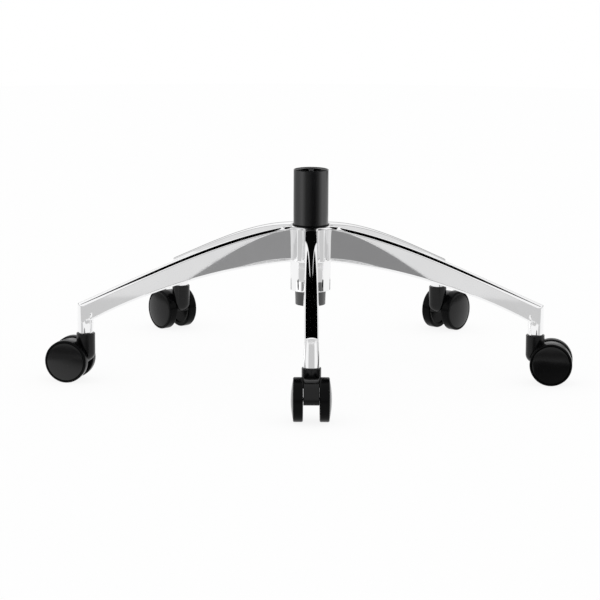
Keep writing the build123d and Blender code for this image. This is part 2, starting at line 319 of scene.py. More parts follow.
def turn(corners: Sequence[Corner], steps: int = 96) -> bmesh.types.BMesh:
    """Turn a closed outline about the vertical axis and round its ring edges.

    Args:
        corners: The outline, in order.
        steps: Faces round the axis.

    Returns:
        The turned shape, in millimetres.
    """
    bm = bmesh.new()
    verts = [bm.verts.new((corner.radius, 0.0, corner.height)) for corner in corners]
    edges = [bm.edges.new((verts[i], verts[(i + 1) % len(verts)])) for i in range(len(verts))]
    bmesh.ops.spin(bm, geom=verts + edges, cent=(0, 0, 0), axis=(0, 0, 1), angle=math.tau, steps=steps,
                   use_merge=True, use_duplicate=False)
    bmesh.ops.remove_doubles(bm, verts=bm.verts[:], dist=1e-4)
    for corner in corners:
        if corner.round > 0.0:
            ring = [edge for edge in bm.edges if all(at_corner(vert, corner) for vert in edge.verts)]
            bmesh.ops.bevel(bm, geom=ring, offset=corner.round, offset_type="OFFSET",
                            segments=corner.segments, profile=0.5, affect="EDGES", clamp_overlap=True,
                            material=-1)
    bmesh.ops.recalc_face_normals(bm, faces=bm.faces[:])
    return bm


def at_corner(vert: bmesh.types.BMVert, corner: Corner) -> bool:
    """Whether a vertex lies on the ring that a corner makes."""
    radius = math.hypot(vert.co.x, vert.co.y)
    return abs(radius - corner.radius) < MERGE and abs(vert.co.z - corner.height) < MERGE


@dataclass
class Workshop:
    """Turns finished shapes into pieces of the object, each on its body and with its finish."""

    materials: dict[FinishName, bpy.types.Material]
    sharp_angle: float = math.radians(35.0)

    def piece(self, name: str, shape: bmesh.types.BMesh, place: Matrix, finish: FinishName, body: str,
              stands_for: Iterable[str]) -> None:
        """Make a piece from a shape.

        Args:
            name: The piece's name.
            shape: The shape in millimetres, which is used up.
            place: Where the shape goes, in millimetres above the floor.
            finish: The piece's finish.
            body: The body it rides on.
            stands_for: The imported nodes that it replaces.
        """
        bmesh.ops.transform(shape, matrix=TO_FRAME @ place, verts=shape.verts[:])
        mesh = bpy.data.meshes.new(name)
        shape.to_mesh(mesh)
        shape.free()
        mesh.shade_smooth()
        mesh.set_sharp_from_angle(angle=self.sharp_angle)
        piece = bpy.data.objects.new(name, mesh)
        bpy.context.scene.collection.objects.link(piece)
        mesh.materials.append(self.materials[finish])
        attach(piece, body)
        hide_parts(*stands_for)
        LOG.info("piece %s: %d faces on %s", name, len(mesh.polygons), body)

    def dress(self, node: bpy.types.Object, finish: FinishName) -> None:
        """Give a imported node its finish.

        Args:
            node: The node's object.
            finish: Its finish.
        """
        node.data.materials.clear()
        node.data.materials.append(self.materials[finish])
        LOG.info("node %s: %s", node.name, finish.value)


# The casting


class Zone(Enum):
    """Where on the casting's outline a column of points stands."""

    HUB = "hub"
    FILLET = "fillet"
    ARM = "arm"
    LEG = "leg"
    CORNER = "corner"
    END = "end"


@dataclass(frozen=True)
class Station:
    """One place on the outline of half an arm's sector, seen from above.

    Attributes:
        zone: The stretch of the outline.
        share: How far along that stretch, from 0 to 1.
        distance: Distance out from the column's axis, along the arm.
    """

    zone: Zone
    share: float
    distance: float = 0.0


@dataclass
class StarCasting:
    """The one-piece base: hub, boss, five blade arms and their legs. Sizes are in millimetres."""

    stem_circle: float = 332.5
    arm_count: int = 5
    arm_half_width: float = 10.9
    draft: float = math.radians(3.0)
    crown_radius: float = 14.0
    shoulder_round: float = 2.2
    arm_foot_round: float = 3.5
    hub_radius: float = 32.0
    hub_rim_round: float = 3.5
    hub_foot_round: float = 2.4
    boss_radius: float = 29.0
    boss_round: float = 1.0
    bore_top_radius: float = 24.96
    bore_foot_radius: float = 22.24
    root_fillet: float = 6.0
    root_settle: float = 25.0
    leg_corner: float = 7.0
    leg_foot_round: float = 0.6
    leg_inner: float = 329.0
    socket_boss_radius: float = 10.5
    wall_half_step: float = 0.3
    leg_foot: float = 69.3
    tip_foot: float = 79.9
    tip_crown: float = 110.9
    hub_foot: float = 156.2
    hub_top: float = 207.0
    boss_foot: float = 113.2
    crown_falls: Pair = (0.108, 0.383)
    foot_falls: Pair = (0.047, 0.466)
    rim_flat: float = 1.5
    crown_rise: float = 10.0
    ridge_stop: float = 4.0
    under_stop: float = 8.0
    ridge_spread: float = 0.7
    under_spread: Pair = (0.3, 0.8)
    wall_draw_start: float = 296.0
    edge_step: float = 0.4
    first_inset: float = 3.0
    slope_step: float = 0.2
    slope_rounds: int = 12
    hub_columns: int = 4
    fillet_columns: int = 8
    leg_columns: int = 4
    corner_columns: int = 8
    end_columns: int = 3
    crown_rows: int = 8
    shoulder_rows: int = 6
    side_shares: tuple[float, ...] = (0.015, 0.06, 0.16, 0.3, 0.44, 0.58, 0.72, 0.84, 0.94, 0.985)
    foot_rows: int = 6
    under_rows: int = 6
    boss_rows: int = 4
    arm_columns: int = 56

    @property
    def tip(self) -> float:
        """Distance out to the leg's outer face."""
        return self.stem_circle + self.socket_boss_radius

    @property
    def corner_start(self) -> float:
        """Distance out to where the leg's round corner starts."""
        return self.tip - self.leg_corner

    @property
    def fillet_centre(self) -> Vector:
        """Centre of the round between hub and arm, seen from above."""
        across = self.arm_half_width + self.root_fillet
        return Vector((math.sqrt((self.hub_radius + self.root_fillet)**2 - across**2), across))

    def eased(self, distance: float, ends: Pair, falls: Pair) -> float:
        """Height of an arm's edge, as a cubic between the hub and the tip.

        Args:
            distance: Distance out from the column's axis.
            ends: Height at the hub and at the tip.
            falls: Downward slope at the hub and at the tip.

        Returns:
            The height above the floor.
        """
        span = self.tip - self.hub_radius
        u = (distance - self.hub_radius) / span
        start = (2 * u**3 - 3 * u**2 + 1) * ends[0] - (u**3 - 2 * u**2 + u) * span * falls[0]
        return start + (3 * u**2 - 2 * u**3) * ends[1] - (u**3 - u**2) * span * falls[1]

    def crown(self, distance: float) -> float:
        """Height of the arm's ridge, level inside the hub."""
        return min(self.hub_top, self.eased(distance, (self.hub_top, self.tip_crown), self.crown_falls))

    def foot(self, distance: float) -> float:
        """Height of the arm's lower edge, level inside the hub."""
        return min(self.hub_foot, self.eased(distance, (self.hub_foot, self.tip_foot), self.foot_falls))

    def stations(self) -> list[Station]:
        """List the stations from the middle of the hub's wall to the middle of the leg's outer face.

        Returns:
            The stations, in order.
        """
        listed = [Station(Zone.HUB, i / self.hub_columns) for i in range(self.hub_columns)]
        listed += [Station(Zone.FILLET, i / self.fillet_columns) for i in range(self.fillet_columns)]
        inner = self.leg_inner - self.wall_half_step
        for i in range(self.arm_columns + 1):
            share = i / self.arm_columns
            listed.append(Station(Zone.ARM, share, mix(self.fillet_centre.x, inner, share)))
        outer = self.leg_inner + self.wall_half_step
        for i in range(self.leg_columns):
            share = i / self.leg_columns
            listed.append(Station(Zone.LEG, share, mix(outer, self.corner_start, share)))
        for i in range(self.corner_columns):
            listed.append(Station(Zone.CORNER, i / self.corner_columns, self.corner_start))
        listed += [Station(Zone.END, i / self.end_columns, self.tip) for i in range(self.end_columns + 1)]
        return listed

    def inner_angle(self, station: Station) -> float:
        """Angle round the hub's bore at which a hub or fillet station's column ends.

        Args:
            station: Place on the outline.

        Returns:
            The angle from the arm's middle plane, in radians.
        """
        contact = math.atan2(self.fillet_centre.y, self.fillet_centre.x)
        ends = {Zone.HUB: (math.pi / self.arm_count, contact), Zone.FILLET: (contact, 0.0)}
        return mix(*ends[station.zone], station.share)

    def arm_share(self, station: Station) -> float:
        """0 on the hub's wall, 1 on an arm, eased over the fillet."""
        return {Zone.HUB: 0.0, Zone.FILLET: smooth_step(station.share)}.get(station.zone, 1.0)

    def plan(self, station: Station, inset: float) -> Vector:
        """Point seen from above, an inset in from the casting's outline.

        Args:
            station: Place on the outline.
            inset: Distance in from the outline.

        Returns:
            The point, as x along the arm and y across it.
        """
        half = self.arm_half_width
        if station.zone is Zone.HUB:
            return on_circle(self.inner_angle(station), self.hub_radius - inset)
        if station.zone is Zone.FILLET:
            centre = self.fillet_centre
            first = math.atan2(-centre.y, -centre.x) % math.tau
            angle = mix(first, 1.5 * math.pi, station.share)
            return centre + on_circle(angle, self.root_fillet + inset)
        if station.zone is Zone.CORNER:
            angle = 0.5 * math.pi * (1.0 - station.share)
            centre = Vector((self.corner_start, half - self.leg_corner))
            return centre + on_circle(angle, self.leg_corner - inset)
        if station.zone is Zone.END:
            return Vector((self.tip - inset, (half - self.leg_corner) * (1.0 - station.share)))
        return Vector((station.distance, half - inset))

    def lean(self, station: Station) -> float:
        """Draft angle of the side at a station, eased to nothing round the leg's corner."""
        shares = {Zone.CORNER: 1.0 - smooth_step(station.share), Zone.END: 0.0}
        return self.draft * shares.get(station.zone, self.arm_share(station))

    def top_height(self, station: Station, point: Vector) -> float:
        """Height of the top surface.

        Args:
            station: Place on the outline.
            point: The point, seen from above.

        Returns:
            The height above the floor.
        """
        reach = math.hypot(point.x, point.y)
        across = min(abs(point.y), self.crown_radius - self.hub_rim_round)
        drop = self.crown_radius - math.sqrt(self.crown_radius**2 - across**2)
        drop *= smooth_step((reach - self.bore_top_radius - self.rim_flat) / self.crown_rise)
        fall = self.hub_top - self.crown(point.x)
        return self.hub_top - self.arm_share(station) * (drop + fall)

    def top_inner(self, station: Station) -> Vector:
        """Where a station's column ends on the bore's rim or the arm's ridge.

        Args:
            station: Place on the outline.

        Returns:
            The point, seen from above.
        """
        if station.zone in (Zone.HUB, Zone.FILLET):
            return on_circle(self.inner_angle(station), self.bore_top_radius)
        return self.settled(station, self.bore_top_radius, self.tip - self.ridge_stop)

    def settled(self, station: Station, root: float, end: float) -> Vector:
        """Point on the arm's middle plane, drawn in near the root and spread under the tip's round.

        Args:
            station: Place on the outline, on the arm or beyond it.
            root: The point's distance out at the arm's first station.
            end: The point's distance out at the last station.

        Returns:
            The point, seen from above.
        """
        if station.zone is Zone.CORNER:
            return Vector((mix(self.corner_start, end, station.share * self.ridge_spread), 0.0))
        if station.zone is Zone.END:
            return Vector((mix(self.corner_start, end, mix(self.ridge_spread, 1.0, station.share)), 0.0))
        start = self.fillet_centre.x
        share = min(1.0, (station.distance - start) / self.root_settle)
        return Vector((station.distance - (start - root) * (1.0 - share), 0.0))

    def wall_line(self, across: float) -> float:
        """Distance out to the leg's inner wall, where the socket's boss stands proud of it."""
        boss = math.sqrt(max(0.0, self.socket_boss_radius**2 - across**2))
        return min(self.leg_inner, self.stem_circle - boss)

    def under_points(self, station: Station, start: Vector, height: float) -> list[Vector]:
        """Points of a column under the casting, from its outline in.

        Args:
            station: Place on the outline.
            start: First point, seen from above.
            height: Height of the lower face at the station.

        Returns:
            The points after the first one.
        """
        points = []
        last = self.under_inner(station)
        draw_length = self.leg_inner - self.wall_half_step - self.wall_draw_start
        for row in range(1, self.under_rows + 1):
            spot = start.lerp(last, row / self.under_rows)
            if station.zone is Zone.ARM:
                drawn = smooth_step((station.distance - self.wall_draw_start) / draw_length)
                spot.x += drawn * (self.wall_line(spot.y) - self.leg_inner)
                level = mix(height, self.foot(spot.x), drawn if drawn > 0 else 1.0)
                points.append(Vector((*spot, level)))
                continue
            if station.zone is Zone.LEG and station.share == 0.0:
                spot.x = self.wall_line(spot.y) + self.wall_half_step
            points.append(Vector((*spot, height)))
        return points

    def under_inner(self, station: Station) -> Vector:
        """Where a station's column ends under the casting.

        Args:
            station: Place on the outline.

        Returns:
            The point, seen from above.
        """
        if station.zone in (Zone.HUB, Zone.FILLET):
            return on_circle(self.inner_angle(station), self.boss_radius)
        if station.zone is Zone.ARM:
            return self.settled(station, self.boss_radius, self.tip)
        spread = {
            Zone.LEG: (0.0, self.under_spread[0]),
            Zone.CORNER: self.under_spread,
            Zone.END: (self.under_spread[1], 1.0),
        }
        wall = self.wall_line(0.0) + self.wall_half_step
        return Vector((mix(wall, self.tip - self.under_stop, mix(*spread[station.zone], station.share)), 0.0))

    def shoulder(self, station: Station, top_round: float, lean: float, foot: float) -> list[Pair]:
        """Round between the top surface and the side.

        Args:
            station: Place on the outline.
            top_round: Radius of the round.
            lean: Draft angle of the side.
            foot: Height at which the side's inset is nothing.

        Returns:
            (inset, height) pairs from the top surface to the side.
        """
        inset = self.first_inset
        slope = 0.0
        height = self.hub_top
        for _ in range(self.slope_rounds):
            height = self.top_height(station, self.plan(station, inset))
            ahead = self.top_height(station, self.plan(station, inset + self.slope_step))
            slope = max(0.0, math.atan2(ahead - height, self.slope_step))
            side_height = height - top_round * (math.cos(slope) - math.sin(lean))
            side_inset = math.tan(lean) * (side_height - foot)
            inset = side_inset + top_round * (math.cos(lean) - math.sin(slope))
        pairs = []
        for row in range(self.shoulder_rows + 1):
            angle = mix(slope, 0.5 * math.pi - lean, row / self.shoulder_rows)
            out = top_round * (math.sin(angle) - math.sin(slope))
            down = top_round * (math.cos(slope) - math.cos(angle))
            pairs.append((inset - out, height - down))
        return pairs

    def column(self, station: Station) -> list[Vector]:
        """One column of points, from the top's inner end over the side to the underside's inner end.

        Args:
            station: Place on the outline.

        Returns:
            The points.
        """
        share = self.arm_share(station)
        lean = self.lean(station)
        distance = min(self.tip, max(self.hub_radius, station.distance))
        foot = mix(self.hub_foot, self.foot(distance), share)
        on_leg = station.zone in (Zone.LEG, Zone.CORNER, Zone.END)
        top_round = mix(self.hub_rim_round, self.shoulder_round, share)
        foot_round = self.leg_foot_round if on_leg else mix(self.hub_foot_round, self.arm_foot_round, share)
        bottom = self.leg_foot if on_leg else foot
        foot_lean = 0.0 if on_leg else lean
        pairs = self.shoulder(station, top_round, lean, foot)
        points = []
        rim = self.plan(station, pairs[0][0])
        first = self.top_inner(station)
        for row in range(self.crown_rows):
            spot = first.lerp(rim, row / self.crown_rows)
            points.append(Vector((*spot, self.top_height(station, spot))))
        centre_inset = foot_round / math.cos(foot_lean) + foot_round * math.tan(foot_lean)
        side_start = pairs[-1][1]
        side_end = bottom + foot_round + foot_round * math.sin(foot_lean)
        for part in self.side_shares:
            height = mix(side_start, side_end, part)
            pairs.append((math.tan(lean) * max(0.0, height - foot), height))
        for row in range(self.foot_rows + 1):
            angle = mix(-foot_lean, 0.5 * math.pi, row / self.foot_rows)
            height = bottom + foot_round - foot_round * math.sin(angle)
            pairs.append((centre_inset - foot_round * math.cos(angle), height))
        points += [Vector((*self.plan(station, inset), height)) for inset, height in pairs]
        return points + self.under_points(station, self.plan(station, centre_inset), bottom)

    def bore_column(self, station: Station) -> list[Vector]:
        """One column of points from the boss's top, round its foot, and up the bore to the hub's rim.

        Args:
            station: Place on the outline.

        Returns:
            The points.
        """
        angle = self.inner_angle(station)
        outline = [
            (self.boss_radius, self.hub_foot),
            (self.boss_radius, self.hub_foot - self.edge_step),
            (self.boss_radius, mix(self.hub_foot, self.boss_foot, 0.5)),
            (self.boss_radius, self.boss_foot + self.boss_round),
        ]
        for row in range(1, self.boss_rows + 1):
            turned = 0.5 * math.pi * row / self.boss_rows
            outline.append((self.boss_radius - self.boss_round * (1.0 - math.cos(turned)),
                            self.boss_foot + self.boss_round * (1.0 - math.sin(turned))))
        outline += [
            (self.bore_foot_radius + self.edge_step, self.boss_foot),
            (self.bore_foot_radius, self.boss_foot + self.edge_step),
            (mix(self.bore_foot_radius, self.bore_top_radius, 0.5), mix(self.boss_foot, self.hub_top, 0.5)),
            (self.bore_top_radius, self.hub_top),
        ]
        return [on_circle(angle, radius).to_3d() + Vector((0.0, 0.0, height)) for radius, height in outline]

    def patch(self, bm: bmesh.types.BMesh, columns: list[list[Vector]]) -> None:
        """Lay a grid over columns of points.

        Args:
            bm: The shape that gets the grid.
            columns: The points, each column as long as the first.
        """
        across, down = len(columns), len(columns[0])
        made = bmesh.ops.create_grid(bm, x_segments=across - 1, y_segments=down - 1, size=0.5)
        for vert in made["verts"]:
            column = columns[round((vert.co.x + 0.5) * (across - 1))]
            vert.co = column[round((vert.co.y + 0.5) * (down - 1))]

    def shape(self) -> bmesh.types.BMesh:
        """Build half an arm's sector, mirror it, and repeat it round the column.

        Returns:
            The casting, in millimetres.
        """
        stations = self.stations()
        bm = bmesh.new()
        self.patch(bm, [self.column(station) for station in stations])
        round_bore = [station for station in stations if station.zone in (Zone.HUB, Zone.FILLET)]
        round_bore.append(Station(Zone.FILLET, 1.0))
        self.patch(bm, [self.bore_column(station) for station in round_bore])
        for vert in bm.verts:
            if abs(vert.co.y) < 0.1 * MERGE:
                vert.co.y = 0.0
        bmesh.ops.remove_doubles(bm, verts=bm.verts[:], dist=MERGE)
        bmesh.ops.mirror(bm, geom=bm.verts[:] + bm.edges[:] + bm.faces[:], matrix=Matrix.Identity(4),
                         merge_dist=MERGE, axis="Y")
        sector = math.tau / self.arm_count
        to_front = Matrix.Rotation(-0.5 * math.pi, 3, "Z")
        bmesh.ops.rotate(bm, verts=bm.verts[:], cent=(0, 0, 0), matrix=to_front)
        bmesh.ops.spin(bm, geom=bm.verts[:] + bm.edges[:] + bm.faces[:], cent=(0, 0, 0), axis=(0, 0, 1),
                       angle=sector * (self.arm_count - 1), steps=self.arm_count - 1, use_duplicate=True)
        bmesh.ops.remove_doubles(bm, verts=bm.verts[:], dist=2.0 * MERGE)
        bmesh.ops.recalc_face_normals(bm, faces=bm.faces[:])
        return bm

    def build(self, workshop: Workshop) -> None:
        """Make the casting's piece.

        Args:
            workshop: Makes and finishes the piece.
        """
        shape = self.shape()
        loose = [edge for edge in shape.edges if len(edge.link_faces) != 2]
        LOG.info("casting: %d faces, %d open edges", len(shape.faces), len(loose))
        workshop.piece("star_casting", shape, Matrix.Identity(4), FinishName.ALUMINIUM, "base", ["star_base"])


# The column


@dataclass
class Column:
    """The gas lift's outer tube and the ring at its foot. Sizes are in millimetres."""

    outer_radius: float = 25.0
    wall: float = 2.0
    foot_radius: float = 21.609
    foot: float = 92.0
    hub_top: float = 207.0
    taper_top: float = 209.0
    ring_inner: float = 25.05
    ring_outer: float = 26.3
    ring_height: float = 2.0

    def tube(self) -> bmesh.types.BMesh:
        """Turn the tube, straight above the hub and tapered below it.

        Returns:
            The tube, in millimetres.
        """
        return turn([
            Corner(self.foot_radius, self.foot, 0.4),
            Corner(self.outer_radius, self.taper_top),
            Corner(self.outer_radius, COLUMN_TOP, 0.5),
            Corner(self.outer_radius - self.wall, COLUMN_TOP, 0.4),
            Corner(self.outer_radius - self.wall, self.taper_top),
            Corner(self.foot_radius - self.wall, self.foot, 0.4),
        ], steps=160)

    def dust_ring(self) -> bmesh.types.BMesh:
        """Turn the ring, sloped on its top.

        Returns:
            The ring, in millimetres.
        """
        return turn([
            Corner(self.ring_inner, self.hub_top),
            Corner(self.ring_outer, self.hub_top),
            Corner(self.ring_outer, self.hub_top + 0.5 * self.ring_height, 0.3),
            Corner(self.ring_inner, self.hub_top + self.ring_height),
        ], steps=128)

    def build(self, workshop: Workshop) -> None:
        """Make the column's pieces.

        Args:
            workshop: Makes and finishes the pieces.
        """
        here = Matrix.Identity(4)
        workshop.piece("lift_tube", self.tube(), here, FinishName.LACQUER, "base", ["column_tube"])
        workshop.piece("tube_foot_ring", self.dust_ring(), here, FinishName.NYLON, "base", ["dust_ring"])


# The casters


@dataclass(frozen=True)
class CasterPlace:
    """Where a caster stands, and where its trail points, in degrees."""

    name: str
    arm: float
    trail: float


@dataclass
class CasterSet:
    """The five twin-wheel casters. Sizes are in millimetres."""

    stem_circle: float = 332.5
    trail: float = 23.0
    wheel_radius: float = 30.0
    wheel_gap: float = 22.2
    tread_width: float = 13.4
    tread_round: float = 2.0
    rim_inner: float = 23.6
    hub_radius: float = 6.5
    hub_length: float = 10.6
    bore_radius: float = 3.05
    web_inset: float = 2.0
    web: float = 2.6
    cap_radius: float = 26.6
    cap_gap: float = 0.55
    cap_ledge: float = 1.6
    cap_dome: float = 3.0
    cap_wall: float = 1.6
    cap_round: float = 0.9
    cap_rings: int = 7
    places: tuple[CasterPlace, ...] = (
        CasterPlace("front", -90.0, -90.0),
        CasterPlace("right", -18.0, -5.4),
        CasterPlace("rear_right", 54.0, 53.0),
        CasterPlace("rear_left", 126.0, 127.0),
        CasterPlace("left", 198.0, 166.0),
    )

    @property
    def seat(self) -> float:
        """Distance out to the wheel's ledge that its cap sits on."""
        return self.tread_width - self.cap_ledge

    def wheel(self) -> bmesh.types.BMesh:
        """Turn a wheel: tread, rim, web and hub, with the seat for its cap.

        Returns:
            The wheel, in millimetres.
        """
        return turn([
            Corner(self.bore_radius, 0.0),
            Corner(self.hub_radius, 0.0, 0.4, 2),
            Corner(self.hub_radius, self.web_inset),
            Corner(self.rim_inner, self.web_inset),
            Corner(self.rim_inner, 0.0, 0.5, 2),
            Corner(self.wheel_radius, 0.0, self.tread_round, 6),
            Corner(self.wheel_radius, self.tread_width, self.tread_round, 6),
            Corner(self.cap_radius + self.cap_gap, self.tread_width, 0.35, 3),
            Corner(self.cap_radius + self.cap_gap, self.seat),
            Corner(self.rim_inner, self.seat),
            Corner(self.rim_inner, self.web_inset + self.web),
            Corner(self.hub_radius, self.web_inset + self.web),
            Corner(self.hub_radius, self.hub_length, 0.4, 2),
            Corner(self.bore_radius, self.hub_length),
        ], steps=128)

    def cap(self) -> bmesh.types.BMesh:
        """Turn a cap: a domed shell with a rounded rim.

        Returns:
            The cap, in millimetres.
        """
        sweep = (self.cap_radius**2 + self.cap_dome**2) / (2 * self.cap_dome)
        centre = self.tread_width + self.cap_dome - sweep
        corners = [Corner(self.cap_radius, self.seat)]
        for ring in range(self.cap_rings + 1):
            radius = self.cap_radius * (1.0 - ring / self.cap_rings)
            height = centre + math.sqrt(sweep**2 - radius**2)
            corners.append(Corner(radius, height, self.cap_round if ring == 0 else 0.0, 5))
        corners += [
            Corner(0.0, self.tread_width + self.cap_dome - self.cap_wall),
            Corner(self.cap_radius - self.cap_wall, self.tread_width - self.cap_wall),
            Corner(self.cap_radius - self.cap_wall, self.seat),
        ]
        return turn(corners, steps=128)

    def stand(self, place: CasterPlace) -> Matrix:
        """Frame of a caster on the floor under its stem, with +X along its trail."""
        out = Matrix.Rotation(math.radians(place.arm), 4, "Z") @ Matrix.Translation((self.stem_circle, 0, 0))
        return out @ Matrix.Rotation(math.radians(place.trail - place.arm), 4, "Z")

    def side(self, place: CasterPlace, hand: float) -> Matrix:
        """Frame of a wheel's inner face, with +Z outwards along the axle."""
        axle = Matrix.Translation((self.trail, hand * self.wheel_gap / 2, self.wheel_radius))
        return self.stand(place) @ axle @ Matrix.Rotation(math.radians(-90.0 * hand), 4, "X")

    def build(self, workshop: Workshop) -> None:
        """Make the casters' pieces.

        Args:
            workshop: Makes and finishes the pieces.
        """
        for place in self.places:
            for hand_name, hand in (("left", 1.0), ("right", -1.0)):
                label = f"{place.name}_{hand_name}"
                where = self.side(place, hand)
                wheel = f"wheel_{label}"
                workshop.piece(f"tread_{label}", self.wheel(), where, FinishName.NYLON, wheel, [wheel])
                workshop.piece(f"dome_{label}", self.cap(), where, FinishName.GLOSS, wheel, [f"cap_{label}"])


# The studio


FLOOR_LEVEL = -COLUMN_TOP * MILLIMETRE - 0.0001
ON_FLOOR: Pair = (FLOOR_LEVEL + 0.002, FLOOR_LEVEL + 0.002)
BESIDE_TUBE: Pair = (-0.083, 0.06)


@dataclass(frozen=True)
class RingCard:
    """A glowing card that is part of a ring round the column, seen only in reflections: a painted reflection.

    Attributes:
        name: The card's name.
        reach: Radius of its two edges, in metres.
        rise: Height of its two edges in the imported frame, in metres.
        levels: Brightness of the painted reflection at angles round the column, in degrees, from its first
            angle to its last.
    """

    name: str
    reach: Pair
    rise: Pair
    levels: Stops


# Glowing cards that only reflections see: painted reflections in the polished and glossy parts.
CARDS: tuple[RingCard, ...] = (
    # Painted reflections round the tube: glowing cards that make pale bands at its sides, with a dark gap
    # between them in front. Outside, the gap has hard edges.
    RingCard("column_reflection_card", (0.042, 0.042), BESIDE_TUBE, (
        (-205.0, 0.6), (-176.0, 0.5), (-155.0, 0.62), (-134.0, 0.92), (-113.0, 0.22), (-84.0, 0.02),
        (-70.0, 0.025), (-56.0, 0.20), (-33.0, 1.05), (0.0, 0.85))),
    RingCard("column_reflection_card_outside", (0.043, 0.043), BESIDE_TUBE, (
        (-180.0, 1.0), (-132.0, 1.0), (-124.0, 0.002), (-48.0, 0.002), (-40.0, 1.0), (0.0, 1.0))),
    # Painted reflections in the side casters' caps: glowing cards on the floor, bright far to the left and
    # dark towards the front.
    RingCard("left_caster_reflection_card", (0.33, 0.55), ON_FLOOR, (
        (-175.0, 2.2), (-155.0, 1.5), (-138.0, 0.3), (-112.0, 0.12))),
    RingCard("right_caster_reflection_card", (0.33, 0.55), ON_FLOOR, ((-68.0, 0.12), (-30.0, 0.12), (-12.0, 0.3))),
    # Painted reflections of a grey floor in the legs: glowing cards on the floor that only reflections see.
    RingCard("left_leg_reflection_card", (0.56, 0.84), ON_FLOOR, ((-160.0, 0.64), (-130.0, 0.64))),
    RingCard("right_leg_reflection_card", (0.56, 0.84), ON_FLOOR, ((-50.0, 0.64), (-20.0, 0.64))),
    RingCard("front_leg_reflection_card", (0.56, 0.84), ON_FLOOR, ((-94.5, 0.6), (-85.5, 0.6))),
    # Painted reflections of the floor in the arms' sides: glowing cards on the floor, darker near the object.
    RingCard("near_floor_reflection_card", (0.85, 1.35), ON_FLOOR, ((-160.0, 0.62), (-20.0, 0.62))),
    RingCard("far_floor_reflection_card", (1.35, 3.35), ON_FLOOR, ((-180.0, 0.78), (180.0, 0.78))),
)


